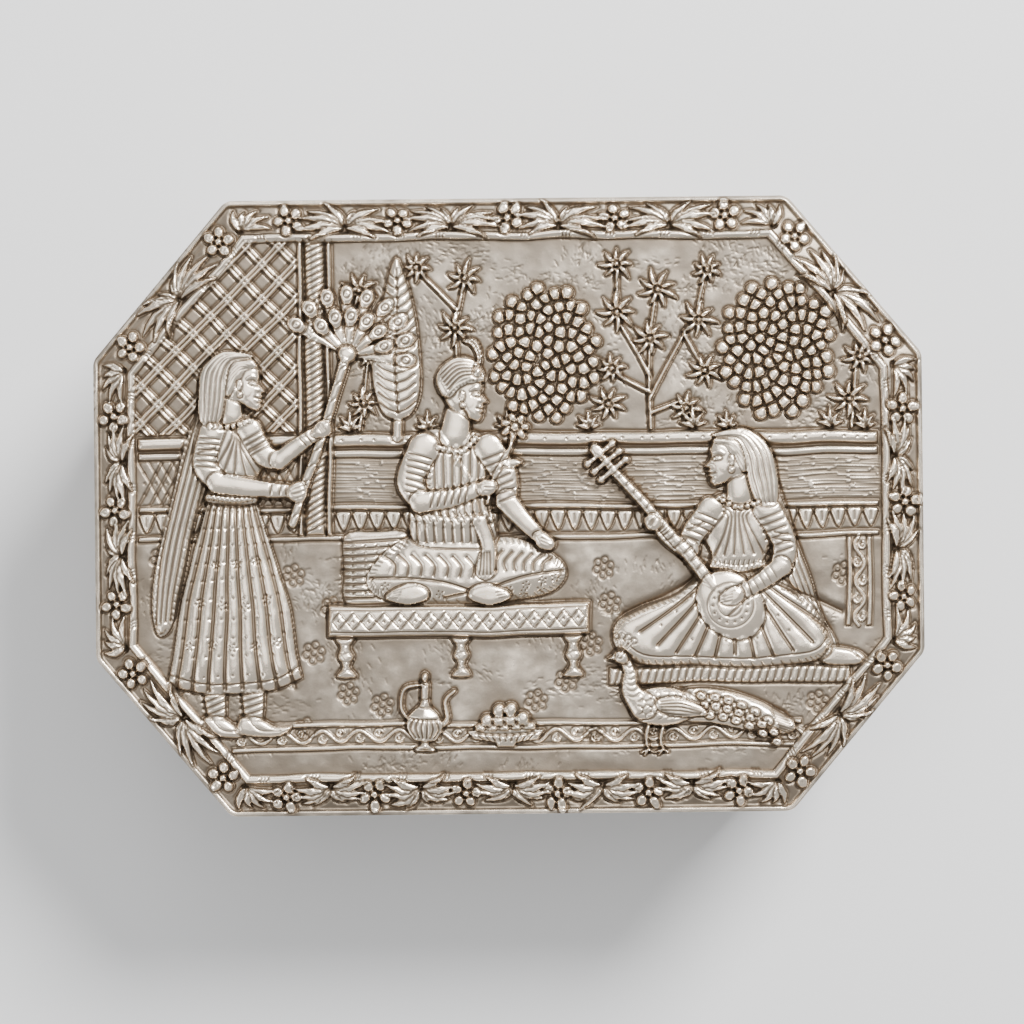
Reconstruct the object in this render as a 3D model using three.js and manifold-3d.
// A silver box with cut corners and a hinged lid, built up from sheet, wire and tube as a silversmith does.
// Millimetres, +Z up. The origin is at the middle of the underside, the front is at -Y and the hinge at +Y.
import * as THREE from "three";
import { mergeVertices } from "three/addons/utils/BufferGeometryUtils.js";
import Module from "manifold-3d";

const wasm = await Module();
wasm.setup();

// Outline of the lid from above: an oblong with its four corners cut off
const lidLength = 140;
const lidWidth = 104;
const cornerCutAlongLength = 22.6;
const cornerCutAlongWidth = 26.8;

// Box: foot, base plate and walls
const footHeight = 3;
const footInset = 0.5;
const footStepInset = 0.9;
const footNeckInset = 1.6;
const footBreadth = 4;
const footTaper = 0.8;
const footBeadHeight = 1;
const footStepHeight = 1.5;
const basePlateThickness = 1;
const basePlateInset = 1;
const basePlateBevel = 0.3;
const wallHeight = 30;
const wallThickness = 1;
const lidOverhang = 2;

// The inner strip that stands up behind the walls and centres the lid
const bezelThickness = 0.7;
const bezelRise = 4;
const bezelDepth = 8;
const bezelClearance = 0.3;

// Half-round wires soldered round the walls and the lid's skirt
const wireRadius = 0.8;
const wireFacets = 6;
const upperWireDrop = 2.8;
const lowerWireRise = 1.4;
const lidWireRise = 2.8;

// Lid: skirt, lining plate and the chased panel
const skirtHeight = 10;
const liningThickness = 0.8;
const panelThickness = 1;
const lipThickness = 0.8;
const lipEdgeRound = 0.35;
const edgeHeight = 0.6;
const edgeBeadWidth = 0.9;
const edgeGutterDepth = 0.3;
const borderRise = 0.3;
const frameBeadInset = 6.5;
const frameBeadWidth = 1.5;
const frameBeadHeight = 0.9;
const frameBeadShoulderShare = 0.2;
const frameBeadSwellShare = 0.75;

// Relief: raised from behind, so each form has a root in the sheet and a rounded shoulder
const reliefRoot = 0.2;
const shoulderRise = 0.45;
const shoulderBreadth = 0.4;
const limbShoulderShare = 0.6;
const lowRelief = 0.55;
const middleRelief = 1;
const highRelief = 1.6;
const topRelief = 2.4;

// Border: flowers of five pearls round a sixth, with sprays of pointed leaves between them
const flowerInset = 3.45;
const petalReach = 1.72;
const petalLength = 1.95;
const petalBreadth = 1.7;
const flowerHeartBreadth = 1.25;
const petalEndShare = 0.5;
const petalGapShare = 0.5;
const pearlRelief = 1;
const heartRelief = 1.15;
const pearlSides = 5;
const pearlTopShare = 0.66;
const petalCount = 5;
const leafLength = 5.2;
const leafBreadth = 1.1;
const leafRelief = 0.85;
const leafEdgeRelief = 0.1;
const leafGapShare = 0.45;
const leafTurns = [-0.95, -0.5, -0.05, 0.42];
const leafLengthShares = [0.55, 0.95, 1, 0.75];
const cornerLeafTurns = [0, 0.35, 0.7, 1.1];
const cornerLeafShares = [1, 0.95, 0.75, 0.62];
const flowersPerSide = [3, 2, 5, 2, 3, 2, 6, 2];
const cutSideFlowerShares = [0.14, 0.86];

// Band chased round the walls: between two ridges, a running stem whose bends each hold a coiled tendril
// and a flower. Shares are of half the band's height, and a tendril's tip is a share of its reach.
const bandTuck = 0.3;
const bandEndGap = 0.8;
const bandRelief = 0.9;
const ridgeRelief = 0.8;
const ridgeMargin = 1.25;
const ridgeBreadth = 1.48;
const scrollLength = 15.5;
const scrollRadius = 0.5;
const tendrilTipRadius = 0.32;
const stemSwingShare = 0.3;
const scrollDropShare = 0.22;
const tendrilReachShare = 0.6;
const tendrilTipShare = 0.48;
const tendrilTurns = 1.35;
const tendrilLean = 0.5;
const tendrilSteps = 12;
const stemSteps = 4;

// Wall across the back of the picture, its lattice and its column
const railHeight = 2.2;
const mouldingHeight = 1.4;
const filletHeight = 0.9;
const latticePitch = 5.9;
const latticeBarWidth = 1.6;
const columnWidth = 3.2;
const columnEdgeWidth = 1;
const columnEdgeGap = 0.3;
const pearlPitch = 2.15;
const bushPackingShare = 0.87;
const bushMoundRelief = 0.9;
const carpetStripBreadth = 3.9;
const carpetFilletBreadth = 0.9;
const bushMoundSides = 10;
const starLeafCount = 8;

// The fan held over the throne: feathers with an eye at each tip
const fanStemRadii = [0.4, 0.45];
const fanEyeLength = 2.8;
const fanEyeBreadth = 2.45;

// Clearances
const partingGap = 0.1;
const solderGap = 0.05;
const hingeGap = 0.1;
const knuckleGap = 0.3;
const cutOverrun = 1;

// Each raised form lies this much higher than the one before it, so that no two tops share a plane
const layStep = 0.0006;
const mergeTolerance = 1e-4;

// Hinge: five knuckles of tube on two bearer strips, let into the wall and the skirt
const hingeLength = 60;
const knuckleCount = 5;
const knuckleRadius = 1.5;
const knuckleBoreRadius = 0.8;
const knuckleSides = 20;
const pinRadius = 0.7;
const pinHeadRadius = 1.1;
const pinHeadThickness = 0.6;
const pinSides = 16;
const bearerThickness = 1.5;
const bearerHeight = 4;

// Patterns of the picture. Each lies in shares of its own height, measured from the middle of its foot and
// looking right: outlines by their points, limbs by [x, y, radius], pearls by [x, y, length, breadth].
const attendantShares = [
  ["limb", lowRelief, [[-0.052, 0.17, 0.034], [-0.05, 0.03, 0.026]]],
  ["limb", lowRelief, [[0.045, 0.17, 0.034], [0.049, 0.03, 0.026]]],
  ["outline", lowRelief, [[-0.085, 0.05], [-0.085, 0.004], [0.03, 0], [0.05, 0.026], [-0.03, 0.05]]],
  ["outline", lowRelief, [[0.012, 0.05], [0.012, 0.004], [0.125, 0], [0.15, 0.026], [0.065, 0.05]]],
  ["outline", middleRelief, [[0.02, 1], [-0.045, 0.985], [-0.085, 0.93], [-0.095, 0.86], [-0.155, 0.66],
    [-0.19, 0.5], [-0.215, 0.36], [-0.2, 0.27], [-0.16, 0.29], [-0.1, 0.56], [-0.02, 0.85]]],
  ["outline", highRelief, [[-0.062, 0.625], [-0.1, 0.5], [-0.145, 0.3], [-0.175, 0.135], [0, 0.11],
    [0.175, 0.155], [0.145, 0.33], [0.095, 0.51], [0.058, 0.625]]],
  ["outline", highRelief, [[-0.035, 0.855], [-0.09, 0.825], [-0.1, 0.74], [-0.066, 0.615], [0.06, 0.615],
    [0.095, 0.735], [0.075, 0.8], [0.035, 0.855], [0.03, 0.89], [-0.03, 0.89]]],
  ["limb", middleRelief, [[0.16, 0.56, 0.013], [0.3, 0.985, 0.013]]],
  ["limb", topRelief, [[-0.055, 0.8, 0.034], [-0.07, 0.7, 0.03], [-0.03, 0.66, 0.026]]],
  ["limb", topRelief, [[-0.04, 0.665, 0.027], [0.165, 0.642, 0.018]]],
  ["outline", topRelief, [[0.15, 0.66], [0.19, 0.667], [0.2, 0.632], [0.15, 0.615]]],
  ["limb", topRelief, [[0.045, 0.805, 0.033], [0.085, 0.735, 0.029], [0.13, 0.725, 0.024]]],
  ["limb", topRelief, [[0.125, 0.722, 0.025], [0.225, 0.8, 0.017]]],
  ["outline", topRelief, [[0.2, 0.795], [0.22, 0.828], [0.26, 0.82], [0.245, 0.78]]],
  ["head", topRelief, [0.035, 0.925, 0.138]],
];
const princeShares = [
  ["outline", highRelief, [[-0.36, 0.115], [-0.27, 0.215], [-0.12, 0.27], [0.26, 0.255], [0.42, 0.17],
    [0.44, 0.085], [0.34, 0.015], [0.05, -0.01], [-0.22, -0.005], [-0.34, 0.04]]],
  ["outline", topRelief, [[-0.07, 0.7], [-0.175, 0.66], [-0.215, 0.55], [-0.175, 0.24], [0.16, 0.24],
    [0.145, 0.4], [0.175, 0.53], [0.15, 0.635], [0.08, 0.7], [0.065, 0.75], [-0.045, 0.75]]],
  ["limb", highRelief, [[0.135, 0.62, 0.058], [0.205, 0.5, 0.05], [0.215, 0.4, 0.044], [0.335, 0.26, 0.03]]],
  ["outline", highRelief, [[0.31, 0.27], [0.36, 0.285], [0.41, 0.235], [0.38, 0.2], [0.325, 0.21]]],
  ["limb", topRelief, [[-0.125, 0.62, 0.062], [-0.185, 0.49, 0.054], [-0.13, 0.4, 0.046],
    [0.1, 0.455, 0.03]]],
  ["outline", topRelief, [[0.09, 0.48], [0.125, 0.5], [0.175, 0.48], [0.17, 0.44], [0.1, 0.42]]],
  ["limb", middleRelief, [[0.15, 0.5, 0.016], [0.235, 0.66, 0.016]]],
  ["pearl", highRelief, [0.245, 0.7, 0.12, 0.12]],
  ["head", topRelief, [0.045, 0.835, 0.215]],
  ["outline", topRelief, [[-0.075, 0.856], [-0.075, 0.91], [-0.045, 0.965], [0.02, 0.995], [0.08, 0.977],
    [0.116, 0.935], [0.122, 0.893], [0.05, 0.883], [-0.01, 0.85], [-0.05, 0.83]]],
  ["limb", middleRelief, [[0.095, 0.965, 0.014], [0.1, 1.01, 0.016], [0.065, 1.055, 0.016]]],
];
const musicianShares = [
  ["outline", middleRelief, [[0.02, 1], [-0.09, 0.985], [-0.155, 0.9], [-0.165, 0.78], [-0.29, 0.42],
    [-0.35, 0.22], [-0.43, 0.06], [-0.35, 0.03], [-0.24, 0.2], [-0.08, 0.6], [-0.03, 0.85]]],
  ["outline", highRelief, [[-0.1, 0.42], [-0.24, 0.31], [-0.36, 0.17], [-0.4, 0.05], [-0.3, -0.01],
    [-0.05, -0.025], [0.22, -0.02], [0.44, 0], [0.54, 0.07], [0.53, 0.17], [0.42, 0.245], [0.26, 0.3],
    [0.11, 0.42]]],
  ["outline", lowRelief, [[-0.36, 0.06], [-0.5, 0.05], [-0.56, 0.01], [-0.5, -0.02], [-0.36, -0.01]]],
  ["outline", highRelief, [[-0.06, 0.74], [-0.155, 0.7], [-0.18, 0.58], [-0.11, 0.395], [0.115, 0.395],
    [0.175, 0.575], [0.14, 0.68], [0.06, 0.74], [0.045, 0.79], [-0.055, 0.79]]],
  ["limb", highRelief, [[0.115, 0.66, 0.055], [0.205, 0.53, 0.048], [0.245, 0.49, 0.042],
    [0.355, 0.605, 0.03]]],
  ["limb", highRelief, [[0.035, 0.245, 0.03], [0.6, 0.915, 0.02]]],
  ["limb", middleRelief, [[0.505, 0.897, 0.018], [0.605, 0.813, 0.018]]],
  ["limb", middleRelief, [[0.56, 0.965, 0.018], [0.66, 0.881, 0.018]]],
  ["pearl", topRelief, [0.035, 0.245, 0.3, 0.3]],
  ["outline", topRelief, [[0.33, 0.62], [0.365, 0.65], [0.41, 0.63], [0.4, 0.575], [0.345, 0.565]]],
  ["limb", topRelief, [[-0.12, 0.66, 0.06], [-0.195, 0.52, 0.052], [-0.17, 0.41, 0.045],
    [0.005, 0.29, 0.03]]],
  ["outline", topRelief, [[-0.02, 0.315], [0.03, 0.325], [0.08, 0.28], [0.06, 0.24], [-0.015, 0.26]]],
  ["head", topRelief, [0.045, 0.875, 0.225]],
];
const headShares = [[-0.44, 0.3], [-0.3, 0.5], [0.05, 0.54], [0.28, 0.36], [0.3, 0.05], [0.4, -0.135],
  [0.33, -0.2], [0.33, -0.42], [0.2, -0.5], [-0.14, -0.46], [-0.3, -0.3], [-0.46, -0.12]];
const peacockShares = [
  ["outline", middleRelief, [[0.1, 0.1], [-0.08, 0.155], [-0.32, 0.13], [-0.56, 0.04], [-0.7, -0.06],
    [-0.66, -0.13], [-0.42, -0.115], [-0.18, -0.065], [0.02, -0.03]]],
  ["limb", lowRelief, [[0.1, -0.04, 0.018], [0.11, -0.24, 0.018]]],
  ["limb", lowRelief, [[0.19, -0.04, 0.018], [0.2, -0.24, 0.018]]],
  ["outline", highRelief, [[0.24, 0.16], [0.1, 0.175], [-0.04, 0.13], [-0.12, 0.04], [-0.02, -0.045],
    [0.14, -0.07], [0.28, -0.02], [0.31, 0.08]]],
  ["limb", highRelief, [[0.23, 0.06, 0.085], [0.31, 0.16, 0.055], [0.315, 0.27, 0.036],
    [0.38, 0.36, 0.034]]],
];
const ewerShares = [
  ["limb", lowRelief, [[0.14, 0.3, 0.05], [0.3, 0.44, 0.036], [0.27, 0.66, 0.034], [0.38, 0.78, 0.034]]],
  ["limb", lowRelief, [[-0.02, 0.86, 0.034], [-0.26, 0.8, 0.034], [-0.3, 0.55, 0.034],
    [-0.14, 0.33, 0.034]]],
  ["outline", highRelief, [[0.05, 0.98], [0.055, 0.72], [0.2, 0.46], [0.235, 0.3], [0.06, 0.1], [0.13, 0],
    [-0.13, 0], [-0.06, 0.1], [-0.235, 0.3], [-0.2, 0.46], [-0.055, 0.72], [-0.05, 0.98]]],
];
const dishShares = [
  ["outline", middleRelief, [[-0.45, 0.25], [-0.2, 0.55], [0, 0.7], [0.2, 0.55], [0.45, 0.25]]],
  ["outline", highRelief, [[-0.62, 0.27], [-0.5, 0.12], [-0.12, 0.05], [-0.12, 0], [0.12, 0], [0.12, 0.05],
    [0.5, 0.12], [0.62, 0.27]]],
];
const cypressShares = [
  ["limb", lowRelief, [[0, 0, 0.03], [0, 0.14, 0.026]]],
  ["outline", middleRelief, [[0, 1], [0.075, 0.8], [0.125, 0.52], [0.135, 0.28], [0.07, 0.1], [-0.07, 0.1],
    [-0.135, 0.28], [-0.125, 0.52], [-0.075, 0.8]]],
];
const seatShares = [
  ["outline", middleRelief, [[-4, 0], [4, 0], [4, 1], [-4, 1]]],
  ["outline", middleRelief, [[-3.75, 0.1], [-3.75, -1.25], [-3.2, -1.25], [-3.2, 0.1]]],
  ["outline", middleRelief, [[-0.27, 0.1], [-0.27, -1.25], [0.27, -1.25], [0.27, 0.1]]],
  ["outline", middleRelief, [[3.2, 0.1], [3.2, -1.25], [3.75, -1.25], [3.75, 0.1]]],
];
const bolsterShares = [
  ["outline", highRelief, [[-0.42, 0.04], [-0.44, 0.5], [-0.42, 0.96], [0, 1], [0.42, 0.96], [0.44, 0.5],
    [0.42, 0.04], [0, 0]]],
];
const matShares = [["outline", lowRelief, [[-6.8, 0], [6.8, 0], [6.8, 1], [-6.8, 1]]]];

// Where each pattern stands: x in shares of the lid's length, y and height in shares of its width, and the
// way it faces.
const layoutShares = [
  [cypressShares, -0.133, 0.12, 0.284, 1],
  [bolsterShares, -0.16, -0.16, 0.12, 1],
  [seatShares, -0.061, -0.21, 0.053, 1],
  [princeShares, -0.064, -0.153, 0.399, 1],
  [attendantShares, -0.332, -0.371, 0.62, 1],
  [matShares, 0.264, -0.291, 0.029, 1],
  [musicianShares, 0.275, -0.256, 0.375, -1],
  [peacockShares, 0.204, -0.34, 0.264, -1],
  [ewerShares, -0.104, -0.396, 0.125, 1],
  [dishShares, -0.006, -0.39, 0.101, 1],
];
const fanHubShare = [0.305, 1];
const fanFeatherShare = 0.155;
const fanFeatherCount = 9;
const fanTurn = 1.25;
const fanSpread = 1.36;
// Bushes of pearls: middle, then half length and half height
const bushShares = [[0.044, 0.236, 0.054, 0.098], [0.325, 0.24, 0.058, 0.102]];
const bushMoundShare = 0.78;
const bushRimShare = 0.84;
// Star-leaved shrubs: middle, and the reach of a leaf
const starShares = [
  [0.132, 0.3125, 0.036], [0.182, 0.351, 0.035], [0.231, 0.298, 0.035], [0.171, 0.269, 0.032],
  [0.121, 0.165, 0.031], [0.411, 0.169, 0.034], [-0.05, 0.351, 0.029], [-0.173, 0.168, 0.028],
  [0.246, 0.375, 0.029],
];
// Edging of the carpet: the middle of each strip's two ends
const carpetEdgeShares = [[[-0.336, -0.372], [0.35, -0.372]], [[0.421, -0.2], [0.421, -0.055]]];
// Bands of the wall, from the carpet up: their lower edges, in shares of the lid's width
const baseBandShare = -0.054;
const filletShare = -0.006;
const mouldingShare = 0.08;
const railShare = 0.098;
const columnShare = -0.232;

// Heights, from the table up
const footTopZ = footHeight;
const wallBaseZ = footTopZ + basePlateThickness;
const wallTopZ = wallBaseZ + wallHeight;
const skirtBaseZ = wallTopZ + partingGap;
const skirtTopZ = skirtBaseZ + skirtHeight;
const liningTopZ = skirtTopZ + liningThickness;
const fieldZ = liningTopZ + panelThickness;
const edgeZ = liningTopZ + edgeHeight;
const borderInnerZ = fieldZ + borderRise;
const bandLowZ = wallBaseZ + lowerWireRise + wireRadius - bandTuck;
const bandHighZ = wallTopZ - upperWireDrop - wireRadius + bandTuck;

// The sheets that forms are raised from: where a form's root lies in the metal, and the sheet's face
const lidSheet = { rootZ: liningTopZ + reliefRoot, faceZ: fieldZ };
const wallSheet = { rootZ: reliefRoot - wallThickness, faceZ: 0 };

// Insets from the lid's outline, square to each side
const wallOuterInset = lidOverhang;
const wallInnerInset = wallOuterInset + wallThickness;
const bezelOuterInset = wallInnerInset + bezelClearance;
const bezelInnerInset = bezelOuterInset + bezelThickness;

// Hinge axis: just behind the bezel, at the height of the parting line
const bezelBackY = lidWidth / 2 - bezelOuterInset;
const wallBackY = lidWidth / 2 - wallOuterInset;
const hingeAxisY = bezelBackY + hingeGap + knuckleRadius;
const hingeAxisZ = wallTopZ + partingGap / 2;
const bearerOffset = knuckleRadius + hingeGap;

const silver = { color: 0xb9b2a6, metalness: 1 };
const finishes = {
  chased: new THREE.MeshStandardMaterial({ ...silver, roughness: 0.38 }),
  plain: new THREE.MeshStandardMaterial({ ...silver, roughness: 0.3 }),
  worn: new THREE.MeshStandardMaterial({ ...silver, color: 0x8f877b, roughness: 0.45 }),
};

// The outline's eight corners, anticlockwise from the right, drawn in by inset.
function corners(inset) {
  const cutLine = Math.hypot(cornerCutAlongLength, cornerCutAlongWidth);
  const normalX = cornerCutAlongWidth / cutLine;
  const normalY = cornerCutAlongLength / cutLine;
  const halfLength = lidLength / 2 - inset;
  const halfWidth = lidWidth / 2 - inset;
  const cutDistance = (normalX * lidLength) / 2 + normalY * (lidWidth / 2 - cornerCutAlongWidth) - inset;
  const sideY = (cutDistance - normalX * halfLength) / normalY;
  const endX = (cutDistance - normalY * halfWidth) / normalX;
  return [
    [halfLength, -sideY],
    [halfLength, sideY],
    [endX, halfWidth],
    [-endX, halfWidth],
    [-halfLength, sideY],
    [-halfLength, -sideY],
    [-endX, -halfWidth],
    [endX, -halfWidth],
  ];
}

// A closed mesh from a list of points and a list of triangles.
function meshGeometry(points, triangles) {
  const geometry = new THREE.BufferGeometry();
  geometry.setAttribute("position", new THREE.Float32BufferAttribute(points.flat(), 3));
  geometry.setIndex(triangles.flat());
  return geometry;
}

// Outline loops joined one to the next, each an [inset, height] pair. A ring closes on its first loop;
// otherwise the first loop is the underside and the last is the top.
function loft(loops, isRing) {
  const points = loops.flatMap(([inset, z]) => corners(inset).map(([x, y]) => [x, y, z]));
  const triangles = [];
  const count = loops.length;
  for (let i = 0; i < (isRing ? count : count - 1); i++) {
    for (let k = 0; k < 8; k++) {
      const a = i * 8 + k;
      const b = i * 8 + ((k + 1) % 8);
      const c = ((i + 1) % count) * 8 + k;
      const d = ((i + 1) % count) * 8 + ((k + 1) % 8);
      triangles.push([a, b, d], [a, d, c]);
    }
  }
  if (!isRing) {
    const top = (count - 1) * 8;
    for (let k = 1; k < 7; k++) {
      triangles.push([0, k + 1, k], [top, top + k, top + k + 1]);
    }
  }
  return meshGeometry(points, triangles);
}

// A flat strip bent round the outline.
function band(outerInset, innerInset, lowZ, highZ) {
  return loft([[outerInset, lowZ], [outerInset, highZ], [innerInset, highZ], [innerInset, lowZ]], true);
}

// A half-round wire lying on the face at faceInset.
function halfRoundWire(faceInset, middleZ) {
  const backInset = faceInset - solderGap;
  const loops = [];
  for (let i = 0; i <= wireFacets; i++) {
    const angle = (Math.PI * i) / wireFacets - Math.PI / 2;
    loops.push([backInset - wireRadius * Math.cos(angle), middleZ + wireRadius * Math.sin(angle)]);
  }
  return loft(loops, true);
}

function block(lowX, highX, lowY, highY, lowZ, highZ) {
  const geometry = new THREE.BoxGeometry(highX - lowX, highY - lowY, highZ - lowZ);
  return geometry.translate((lowX + highX) / 2, (lowY + highY) / 2, (lowZ + highZ) / 2);
}

// A round bar or tube along X, centred on the hinge axis.
function turned(profile, sides) {
  const points = profile.map(([radius, x]) => new THREE.Vector2(radius, x));
  const geometry = new THREE.LatheGeometry(points, sides);
  return geometry.rotateZ(-Math.PI / 2).translate(0, hingeAxisY, hingeAxisZ);
}

function solid(geometry) {
  const plain = geometry.index ? geometry.toNonIndexed() : geometry.clone();
  plain.deleteAttribute("normal");
  plain.deleteAttribute("uv");
  const merged = mergeVertices(plain, mergeTolerance);
  return new wasm.Manifold(new wasm.Mesh({
    numProp: 3,
    vertProperties: merged.attributes.position.array,
    triVerts: new Uint32Array(merged.index.array),
  }));
}

function geometryOf(shape) {
  const { vertProperties, triVerts } = shape.getMesh();
  const geometry = new THREE.BufferGeometry();
  geometry.setAttribute("position", new THREE.BufferAttribute(vertProperties, 3));
  geometry.setIndex(new THREE.BufferAttribute(triVerts, 1));
  return geometry;
}

const box = new THREE.Group();
const lid = new THREE.Group();

function add(group, name, geometry, finish) {
  const mesh = new THREE.Mesh(geometry, finish);
  mesh.name = name;
  group.add(mesh);
}

function buildFoot() {
  const innerInset = footNeckInset + footBreadth;
  const footRing = loft([
    [footInset, 0],
    [footInset, footBeadHeight],
    [footStepInset, footStepHeight],
    [footNeckInset, footTopZ],
    [innerInset, footTopZ],
    [innerInset - footTaper, 0],
  ], true);
  add(box, "foot_ring", footRing, finishes.plain);
  const plateEdge = basePlateInset + basePlateBevel;
  const plate = loft([
    [plateEdge, footTopZ],
    [basePlateInset, footTopZ + basePlateBevel],
    [basePlateInset, wallBaseZ - basePlateBevel],
    [plateEdge, wallBaseZ],
  ], false);
  add(box, "base_plate", plate, finishes.plain);
}

// The notch for the knuckles, as long as the pin with its heads.
function hingeNotch() {
  const half = hingeLength / 2 + knuckleGap * 2 + pinHeadThickness;
  const [lowZ, highZ] = [hingeAxisZ - bearerOffset, hingeAxisZ + bearerOffset];
  return block(-half, half, bezelBackY, wallBackY + cutOverrun, lowZ, highZ);
}

// Eight panels, mitred where they meet and soldered at the corners.
function buildWalls() {
  const names = ["right", "right_rear", "rear", "left_rear", "left", "left_front", "front", "right_front"];
  const outer = corners(wallOuterInset);
  const inner = corners(wallInnerInset);
  const notch = solid(hingeNotch());
  names.forEach((name, k) => {
    const next = (k + 1) % 8;
    const along = new THREE.Vector2(...outer[next]).sub(new THREE.Vector2(...outer[k])).setLength(solderGap);
    const plan = [
      [outer[k][0] + along.x, outer[k][1] + along.y],
      [outer[next][0] - along.x, outer[next][1] - along.y],
      [inner[next][0] - along.x, inner[next][1] - along.y],
      [inner[k][0] + along.x, inner[k][1] + along.y],
    ];
    const shape = new THREE.Shape(plan.map(([x, y]) => new THREE.Vector2(x, y)));
    const panel = new THREE.ExtrudeGeometry(shape, { depth: wallHeight, bevelEnabled: false });
    panel.translate(0, 0, wallBaseZ);
    const plain = name === "rear" ? solid(panel).subtract(notch) : solid(panel);
    const forms = onWall(bandForms(outer[k], outer[next], name === "rear"), outer[k], outer[next]);
    const chased = forms.reduce((made, form) => made.add(form), plain);
    add(box, `wall_${name}`, geometryOf(chased), finishes.chased);
  });
}

// Forms drawn along a wall and up from the table, turned to stand out from its face.
function onWall(forms, [startX, startY], [endX, endY]) {
  const forward = new THREE.Vector3(endX - startX, endY - startY, 0).normalize();
  const up = new THREE.Vector3(0, 0, 1);
  const outward = new THREE.Vector3().crossVectors(forward, up);
  const stand = new THREE.Matrix4().makeBasis(forward, up, outward).setPosition(startX, startY, 0);
  return forms.map((form, k) => solid(form.translate(0, 0, k * layStep).applyMatrix4(stand)));
}

// The band on one wall. On the wall with the hinge, the upper ridge leaves room for the bearer.
function bandForms(start, end, isHinged) {
  const run = new THREE.Vector2(...start).distanceTo(new THREE.Vector2(...end));
  const middle = (bandLowZ + bandHighZ) / 2;
  const half = (bandHighZ - bandLowZ) / 2;
  const count = Math.max(Math.round(run / scrollLength), 1);
  const pitch = run / count;
  const last = run - bandEndGap;
  const ridge = (from, to, level) => {
    const [low, high] = [level - ridgeBreadth / 2, level + ridgeBreadth / 2];
    const outline = [[from, low], [to, low], [to, high], [from, high]];
    return raised(outline, ridgeRelief, shoulderBreadth, wallSheet);
  };
  const bearerReach = hingeLength / 2 + bandEndGap;
  const upperSpans = isHinged
    ? [[bandEndGap, run / 2 - bearerReach], [run / 2 + bearerReach, last]]
    : [[bandEndGap, last]];
  const forms = upperSpans.map(([from, to]) => ridge(from, to, bandHighZ - ridgeMargin));
  forms.push(ridge(bandEndGap, last, bandLowZ + ridgeMargin));
  const limb = (points, radii) => {
    const breadth = limbShoulderShare * Math.min(...radii);
    return raised(limbOutline(points, radii), bandRelief, breadth, wallSheet);
  };
  const stem = Array.from({ length: count * stemSteps + 1 }, (_, k) => {
    const along = Math.min(Math.max((pitch * k) / stemSteps, bandEndGap), last);
    return [along, middle + stemSwingShare * half * Math.sin((Math.PI * k) / stemSteps)];
  });
  forms.push(limb(stem, stem.map(() => scrollRadius)));
  for (let k = 0; k < count; k++) {
    const side = k % 2 === 0 ? 1 : -1;
    const at = [pitch * (k + 0.5), middle - scrollDropShare * side * half];
    const tendril = [];
    const radii = [];
    for (let i = 0; i < tendrilSteps; i++) {
      const share = i / (tendrilSteps - 1);
      const turn = side * (Math.PI / 2 + tendrilLean + 2 * Math.PI * tendrilTurns * share);
      const reach = tendrilReachShare * half * (1 + (tendrilTipShare - 1) * share);
      tendril.push([at[0] + reach * Math.cos(turn), at[1] + reach * Math.sin(turn)]);
      radii.push(scrollRadius + (tendrilTipRadius - scrollRadius) * share);
    }
    forms.push(limb(tendril, radii));
    forms.push(flower(at, 0, pearlRelief, wallSheet));
  }
  return forms;
}

// A wire with a gap at the back where the hinge's bearers are.
function wireAroundHinge(middleZ) {
  const half = hingeLength / 2 + solderGap;
  const wire = solid(halfRoundWire(wallOuterInset, middleZ));
  const backY = lidWidth / 2 + cutOverrun;
  const gap = block(-half, half, wallBackY, backY, middleZ - bearerHeight, middleZ + bearerHeight);
  return geometryOf(wire.subtract(solid(gap)));
}

function buildRim() {
  add(box, "upper_wire", wireAroundHinge(wallTopZ - upperWireDrop), finishes.plain);
  add(box, "lower_wire", halfRoundWire(wallOuterInset, wallBaseZ + lowerWireRise), finishes.plain);
  const bezel = band(bezelOuterInset, bezelInnerInset, wallTopZ - bezelDepth, wallTopZ + bezelRise);
  add(box, "bezel", bezel, finishes.plain);
}

function buildHinge() {
  const half = hingeLength / 2;
  const backY = wallBackY + bearerThickness;
  const lowTopZ = hingeAxisZ - bearerOffset;
  const highBaseZ = hingeAxisZ + bearerOffset;
  const boxBearer = block(-half, half, wallBackY, backY, lowTopZ - bearerHeight, lowTopZ);
  const lidBearer = block(-half, half, wallBackY, backY, highBaseZ, highBaseZ + bearerHeight);
  add(box, "hinge_bearer_box", boxBearer, finishes.plain);
  add(lid, "hinge_bearer_lid", lidBearer, finishes.plain);
  const knuckleLength = (hingeLength - knuckleGap * (knuckleCount - 1)) / knuckleCount;
  for (let i = 0; i < knuckleCount; i++) {
    const start = -half + i * (knuckleLength + knuckleGap);
    const end = start + knuckleLength;
    const tube = turned([
      [knuckleBoreRadius, start],
      [knuckleRadius, start],
      [knuckleRadius, end],
      [knuckleBoreRadius, end],
      [knuckleBoreRadius, start],
    ], knuckleSides);
    const owner = i % 2 === 0 ? box : lid;
    add(owner, `hinge_knuckle_${i + 1}`, tube, finishes.worn);
  }
  const headStart = half + knuckleGap;
  const headEnd = headStart + pinHeadThickness;
  const pin = turned([
    [0, -headEnd],
    [pinHeadRadius, -headEnd],
    [pinHeadRadius, -headStart],
    [pinRadius, -headStart],
    [pinRadius, headStart],
    [pinHeadRadius, headStart],
    [pinHeadRadius, headEnd],
    [0, headEnd],
  ], pinSides);
  add(box, "hinge_pin", pin, finishes.worn);
}

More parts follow.
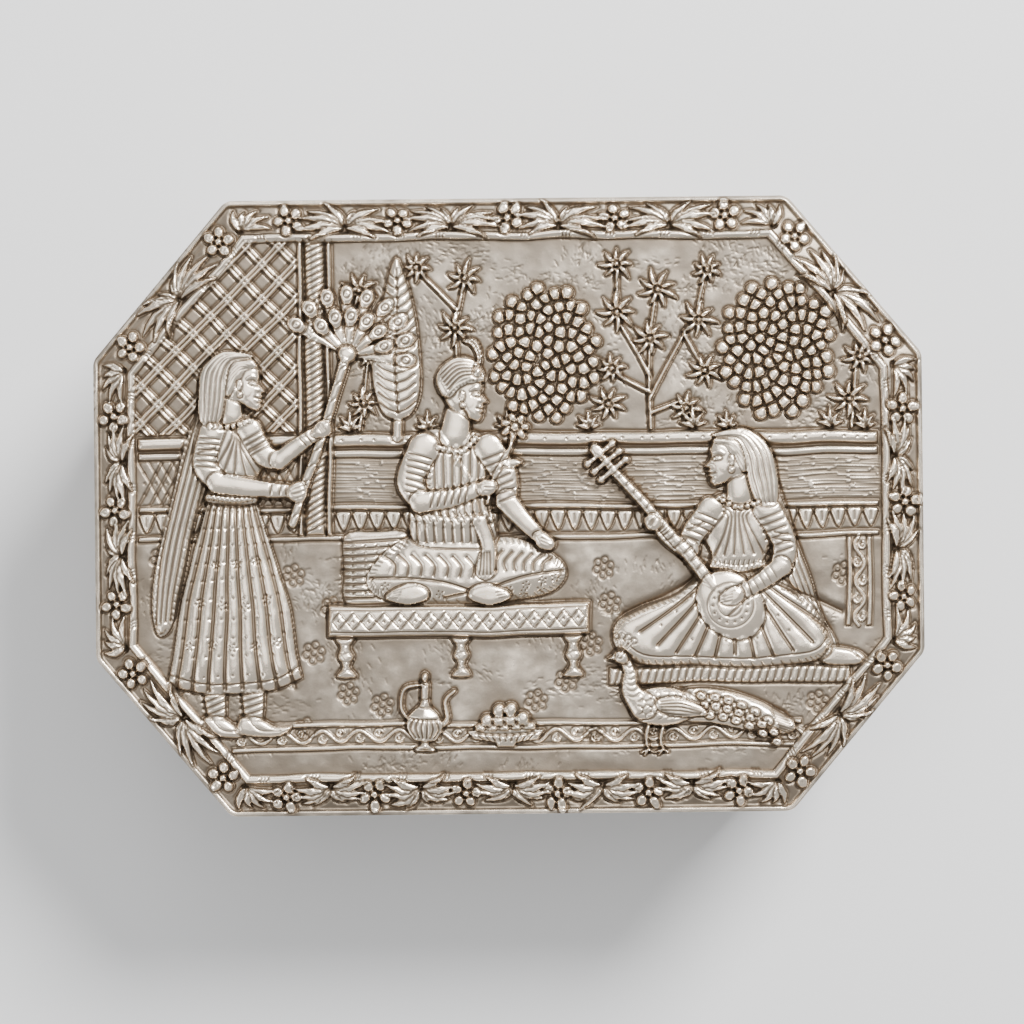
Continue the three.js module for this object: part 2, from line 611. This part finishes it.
function buildLid() {
  const skirt = solid(band(wallOuterInset, wallInnerInset, skirtBaseZ, skirtTopZ));
  add(lid, "lid_skirt", geometryOf(skirt.subtract(solid(hingeNotch()))), finishes.plain);
  add(lid, "lid_wire", wireAroundHinge(skirtBaseZ + lidWireRise), finishes.plain);
  const liningInset = lipThickness + solderGap;
  add(lid, "lid_lining", loft([[liningInset, skirtTopZ], [liningInset, liningTopZ]], false), finishes.plain);
  const sheet = solid(panelSheet());
  const forms = [...borderForms(), ...pictureForms()];
  const chased = forms.reduce((made, form, k) => made.add(solid(form.translate(0, 0, k * layStep))), sheet);
  add(lid, "lid_panel", geometryOf(chased), finishes.chased);
}

// The chased sheet without its ornament: a turned-down lip, a sloping border, the bead that frames the
// picture, and the sunk field.
function panelSheet() {
  const beadOuter = frameBeadInset - frameBeadWidth / 2;
  const beadInner = frameBeadInset + frameBeadWidth / 2;
  const beadShoulder = frameBeadWidth * frameBeadShoulderShare;
  const beadSwellZ = borderInnerZ + frameBeadHeight * frameBeadSwellShare;
  return loft([
    [lipThickness, liningTopZ],
    [lipThickness, skirtTopZ],
    [lipEdgeRound, skirtTopZ],
    [0, skirtTopZ + lipEdgeRound],
    [0, edgeZ - lipEdgeRound],
    [lipEdgeRound, edgeZ],
    [edgeBeadWidth, edgeZ],
    [edgeBeadWidth + edgeGutterDepth, edgeZ - edgeGutterDepth],
    [beadOuter, borderInnerZ],
    [beadOuter + beadShoulder, beadSwellZ],
    [frameBeadInset, borderInnerZ + frameBeadHeight],
    [beadInner - beadShoulder, beadSwellZ],
    [beadInner, fieldZ],
  ], false);
}

// A form that narrows to a flat top, drawn in towards its middle.
function tapered([x, y], outline, rise, { rootZ, faceZ } = lidSheet) {
  const count = outline.length;
  const foot = outline.map(([u, v]) => [x + u, y + v, rootZ]);
  const top = outline.map(([u, v]) => [x + u * pearlTopShare, y + v * pearlTopShare, faceZ + rise]);
  const triangles = [];
  for (let k = 0; k < count; k++) {
    const next = (k + 1) % count;
    triangles.push([k, next, count + next], [k, count + next, count + k]);
    triangles.push([next, k, 2 * count], [count + k, count + next, 2 * count + 1]);
  }
  return meshGeometry([...foot, ...top, [x, y, rootZ], [x, y, faceZ + rise]], triangles);
}

// A pearl: a low many-sided dome on its own long axis, which points along turn.
function pearl(at, length, breadth, turn, rise) {
  const outline = Array.from({ length: pearlSides }, (_, k) => {
    const angle = (2 * Math.PI * k) / pearlSides;
    const corner = new THREE.Vector2((length / 2) * Math.cos(angle), (breadth / 2) * Math.sin(angle));
    return corner.rotateAround(new THREE.Vector2(), turn).toArray();
  });
  return tapered(at, outline, rise);
}

// A flower: five round-ended petals in one outline.
function flower(at, turn, rise, sheet = lidSheet) {
  const reach = petalReach + petalLength / 2;
  const outline = [];
  for (let k = 0; k < petalCount; k++) {
    const petal = turn + (2 * Math.PI * k) / petalCount;
    const halfPitch = Math.PI / petalCount;
    for (const [angle, radius] of [
      [petal - halfPitch * petalEndShare, reach],
      [petal + halfPitch * petalEndShare, reach],
      [petal + halfPitch, reach * petalGapShare],
    ]) {
      outline.push([radius * Math.cos(angle), radius * Math.sin(angle)]);
    }
  }
  return tapered(at, outline, rise, sheet);
}

// Leaves that spring from one point: each tip and each gap between two tips runs down from the crown.
// A leaf is [turn, length]; closed leaves go all the way round, and open ones come back to the root.
function leafCluster([x, y], leaves, isClosed, rise) {
  const at = (turn, reach) => [x + reach * Math.cos(turn), y + reach * Math.sin(turn)];
  const outline = [];
  leaves.forEach(([turn, length], k) => {
    const [nextTurn, nextLength] = leaves[(k + 1) % leaves.length];
    outline.push(at(turn, length));
    if (k < leaves.length - 1 || isClosed) {
      const wrap = nextTurn < turn ? 2 * Math.PI : 0;
      outline.push(at((turn + nextTurn + wrap) / 2, leafGapShare * Math.min(length, nextLength)));
    }
  });
  const middleTurn = (leaves[0][0] + leaves[leaves.length - 1][0]) / 2;
  const crown = isClosed ? [x, y] : at(middleTurn, leafBreadth);
  if (!isClosed) {
    outline.push(at(middleTurn + Math.PI, leafBreadth / 2));
  }
  const count = outline.length;
  const foot = outline.map(([u, v]) => [u, v, lidSheet.rootZ]);
  const edge = outline.map(([u, v]) => [u, v, fieldZ + leafEdgeRelief]);
  const triangles = outline.flatMap((_, k) => {
    const next = (k + 1) % count;
    return [
      [next, k, 2 * count],
      [k, next, count + next],
      [k, count + next, count + k],
      [count + k, count + next, 2 * count + 1],
    ];
  });
  const points = [...foot, ...edge, [...crown, lidSheet.rootZ], [...crown, fieldZ + rise]];
  return meshGeometry(points, triangles);
}

// A form with an outline, raised above a sheet: straight sides, a shoulder and a flat top.
function raised(outline, rise, breadth = shoulderBreadth, { rootZ, faceZ } = lidSheet) {
  const shape = new THREE.Shape(outline.map(([x, y]) => new THREE.Vector2(x, y)));
  const geometry = new THREE.ExtrudeGeometry(shape, {
    depth: faceZ + rise - rootZ - 2 * shoulderRise,
    bevelThickness: shoulderRise,
    bevelSize: breadth,
    bevelOffset: -breadth,
    bevelSegments: 1,
  });
  return geometry.translate(0, 0, rootZ + shoulderRise);
}

function bar(lowX, highX, lowY, highY, rise) {
  return raised([[lowX, lowY], [highX, lowY], [highX, highY], [lowX, highY]], rise);
}

// The outline of a round limb or stem: points down its middle, each with its own radius.
function limbOutline(points, radii) {
  const left = [];
  const right = [];
  points.forEach(([x, y], i) => {
    const [fromX, fromY] = points[Math.max(i - 1, 0)];
    const [toX, toY] = points[Math.min(i + 1, points.length - 1)];
    const run = Math.hypot(toX - fromX, toY - fromY);
    const [alongX, alongY] = [(toX - fromX) / run, (toY - fromY) / run];
    const end = i === 0 ? -1 : i === points.length - 1 ? 1 : 0;
    const radius = radii[i];
    const [tipX, tipY] = [x + (alongX * end * radius) / 2, y + (alongY * end * radius) / 2];
    left.push([tipX - alongY * radius, tipY + alongX * radius]);
    right.unshift([tipX + alongY * radius, tipY - alongX * radius]);
  });
  return [...right, ...left];
}

// Flowers on each side of the outline, sprays of leaves in the gaps and at the corners.
function borderForms() {
  const forms = [];
  const middle = corners(flowerInset);
  const springing = corners(frameBeadInset - frameBeadWidth);
  const springInset = frameBeadInset - frameBeadWidth - flowerInset;
  const flowerReach = petalReach + petalLength / 2;
  middle.forEach(([startX, startY], side) => {
    const [endX, endY] = middle[(side + 1) % 8];
    const run = Math.hypot(endX - startX, endY - startY);
    const along = Math.atan2(endY - startY, endX - startX);
    const at = (share, inwards) => [
      startX + (endX - startX) * share - Math.sin(along) * inwards,
      startY + (endY - startY) * share + Math.cos(along) * inwards,
    ];
    const count = flowersPerSide[side];
    const even = Array.from({ length: count }, (_, k) => (k + 0.5) / count);
    const flowers = count === cutSideFlowerShares.length ? cutSideFlowerShares : even;
    flowers.forEach((share) => {
      forms.push(flower(at(share, 0), along, pearlRelief));
      forms.push(pearl(at(share, 0), flowerHeartBreadth, flowerHeartBreadth, along, heartRelief));
    });
    const gap = (flowers[1] - flowers[0]) * run;
    const room = Math.min((gap / 2 - flowerReach) / leafLength, 1);
    flowers.slice(1).forEach((share, k) => {
      const spring = at((share + flowers[k]) / 2, springInset);
      const forward = leafTurns.map((turn, i) => [along + turn, leafLength * room * leafLengthShares[i]]);
      const backward = forward.map(([turn, length]) => [2 * along - Math.PI - turn, length]);
      forms.push(leafCluster(spring, [...backward.reverse(), ...forward], false, leafRelief));
    });
    if (count !== cutSideFlowerShares.length) {
      const out = cornerLeafTurns.map((turn, i) => [along - turn, leafLength * cornerLeafShares[i]]);
      const back = out.map(([turn, length]) => [2 * along + Math.PI - turn, length]);
      forms.push(leafCluster(springing[side], out.reverse(), false, leafRelief));
      forms.push(leafCluster(springing[(side + 1) % 8], back, false, leafRelief));
    }
  });
  return forms;
}

function patternForms([pattern, xShare, yShare, heightShare, facing]) {
  const height = heightShare * lidWidth;
  const place = ([x, y]) => [xShare * lidLength + facing * x * height, yShare * lidWidth + y * height];
  return pattern.map(([kind, rise, shares]) => {
    if (kind === "outline") {
      return raised(shares.map(place), rise);
    }
    if (kind === "limb") {
      const radii = shares.map((share) => share[2] * height);
      const breadth = Math.min(shoulderBreadth, limbShoulderShare * Math.min(...radii));
      return raised(limbOutline(shares.map(place), radii), rise, breadth);
    }
    if (kind === "head") {
      const [x, y, headShare] = shares;
      return raised(headShares.map(([u, v]) => place([x + u * headShare, y + v * headShare])), rise);
    }
    return pearl(place(shares), shares[2] * height, shares[3] * height, 0, rise);
  });
}

// The fan of feathers over the attendant's hand, each feather a stem with an eye at its tip.
function fanForms([, xShare, yShare, heightShare]) {
  const height = heightShare * lidWidth;
  const hub = [xShare * lidLength + fanHubShare[0] * height, yShare * lidWidth + fanHubShare[1] * height];
  const reach = fanFeatherShare * height;
  return Array.from({ length: fanFeatherCount }, (_, k) => {
    const turn = fanTurn + fanSpread * ((2 * k) / (fanFeatherCount - 1) - 1);
    const eye = [hub[0] + reach * Math.cos(turn), hub[1] + reach * Math.sin(turn)];
    const stem = limbOutline([hub, eye], fanStemRadii);
    return [
      raised(stem, lowRelief, limbShoulderShare * fanStemRadii[0]),
      pearl(eye, fanEyeLength, fanEyeBreadth, turn, middleRelief),
    ];
  }).flat();
}

// A bush: a mound with pearls packed round its rim, each set on by the golden angle from the last.
function bushForms([xShare, yShare, halfLengthShare, halfHeightShare]) {
  const goldenAngle = Math.PI * (3 - Math.sqrt(5));
  const middle = [xShare * lidLength, yShare * lidWidth];
  const half = [halfLengthShare * lidLength, halfHeightShare * lidWidth];
  const mound = Array.from({ length: bushMoundSides }, (_, k) => {
    const turn = (2 * Math.PI * k) / bushMoundSides;
    const [x, y] = [half[0] * Math.cos(turn), half[1] * Math.sin(turn)];
    return [middle[0] + bushMoundShare * x, middle[1] + bushMoundShare * y];
  });
  const forms = [raised(mound, bushMoundRelief)];
  const count = Math.round((Math.PI * half[0] * half[1]) / (pearlPitch * pearlPitch * bushPackingShare));
  for (let k = Math.round(count * bushRimShare * bushRimShare); k < count; k++) {
    const out = Math.sqrt((k + 0.5) / count);
    const turn = k * goldenAngle;
    const at = [middle[0] + half[0] * out * Math.cos(turn), middle[1] + half[1] * out * Math.sin(turn)];
    forms.push(pearl(at, petalLength, petalBreadth, turn, pearlRelief));
  }
  return forms;
}

function starForm([xShare, yShare, reachShare]) {
  const reach = reachShare * lidWidth;
  const leaves = Array.from({ length: starLeafCount }, (_, k) => [(2 * Math.PI * k) / starLeafCount, reach]);
  return leafCluster([xShare * lidLength, yShare * lidWidth], leaves, true, leafRelief);
}

// The wall behind the figures: a rail and a moulding, two fillets, the lattice and the column.
function wallForms() {
  const halfField = lidLength / 2 - frameBeadInset;
  const column = columnShare * lidLength;
  const shaft = columnWidth / 2;
  const level = (share) => share * lidWidth;
  const forms = [
    bar(-halfField, halfField, level(railShare), level(railShare) + railHeight, middleRelief),
    bar(-halfField, halfField, level(mouldingShare), level(mouldingShare) + mouldingHeight, lowRelief),
    bar(-halfField, halfField, level(filletShare), level(filletShare) + filletHeight, lowRelief),
    bar(-halfField, halfField, level(baseBandShare), level(baseBandShare) + filletHeight, lowRelief),
  ];
  const topY = lidWidth / 2 - frameBeadInset;
  forms.push(bar(column - shaft, column + shaft, level(baseBandShare), topY, middleRelief));
  const halfEdge = columnEdgeWidth / 2;
  for (const side of [-1, 1]) {
    const edge = column + side * (shaft + columnEdgeGap + halfEdge);
    forms.push(bar(edge - halfEdge, edge + halfEdge, level(baseBandShare), topY, lowRelief));
  }
  return [...forms, ...latticeForms(level(railShare) + railHeight, topY, column - shaft)];
}

// Two sets of slanting bars, cut to the corner of the field between the rail, the column and the frame.
function latticeForms(lowY, highY, rightX) {
  const topZ = fieldZ + lowRelief;
  const opening = loft([[frameBeadInset, lidSheet.rootZ], [frameBeadInset, topZ]], false);
  const window = solid(opening).intersect(solid(block(-lidLength, rightX, lowY, highY, 0, 2 * fieldZ)));
  const rise = highY - lowY;
  const halfBar = latticeBarWidth / 2;
  const count = Math.ceil((4 * rise) / latticePitch);
  const bars = [];
  for (const way of [1, -1]) {
    for (let k = -count; k <= count; k++) {
      const strip = block(-2 * rise, 2 * rise, -halfBar, halfBar, lidSheet.rootZ, topZ);
      strip.rotateZ((way * Math.PI) / 4);
      bars.push(solid(strip.translate(rightX - rise / 2 + k * latticePitch, (lowY + highY) / 2, 0)));
    }
  }
  return [geometryOf(bars.reduce((made, strip) => made.add(strip)).intersect(window))];
}

// Two fillets along each edging strip of the carpet, one on either side of its scroll.
function carpetForms() {
  const apart = (carpetStripBreadth - carpetFilletBreadth) / 2;
  const halfFillet = carpetFilletBreadth / 2;
  return carpetEdgeShares.flatMap((shares) => {
    const [[fromX, fromY], [toX, toY]] = shares.map(([x, y]) => [x * lidLength, y * lidWidth]);
    const isLevel = fromY === toY;
    return [-apart, apart].map((off) => (isLevel
      ? bar(fromX, toX, fromY + off - halfFillet, fromY + off + halfFillet, lowRelief)
      : bar(fromX + off - halfFillet, fromX + off + halfFillet, fromY, toY, lowRelief)));
  });
}

function pictureForms() {
  const attendantPlace = layoutShares.find(([pattern]) => pattern === attendantShares);
  return [
    ...wallForms(),
    ...bushShares.flatMap(bushForms),
    ...starShares.map(starForm),
    ...carpetForms(),
    ...fanForms(attendantPlace),
    ...layoutShares.flatMap(patternForms),
  ];
}

buildFoot();
buildWalls();
buildRim();
buildHinge();
buildLid();

const part = new THREE.Group();
part.add(box, lid);
export default part;
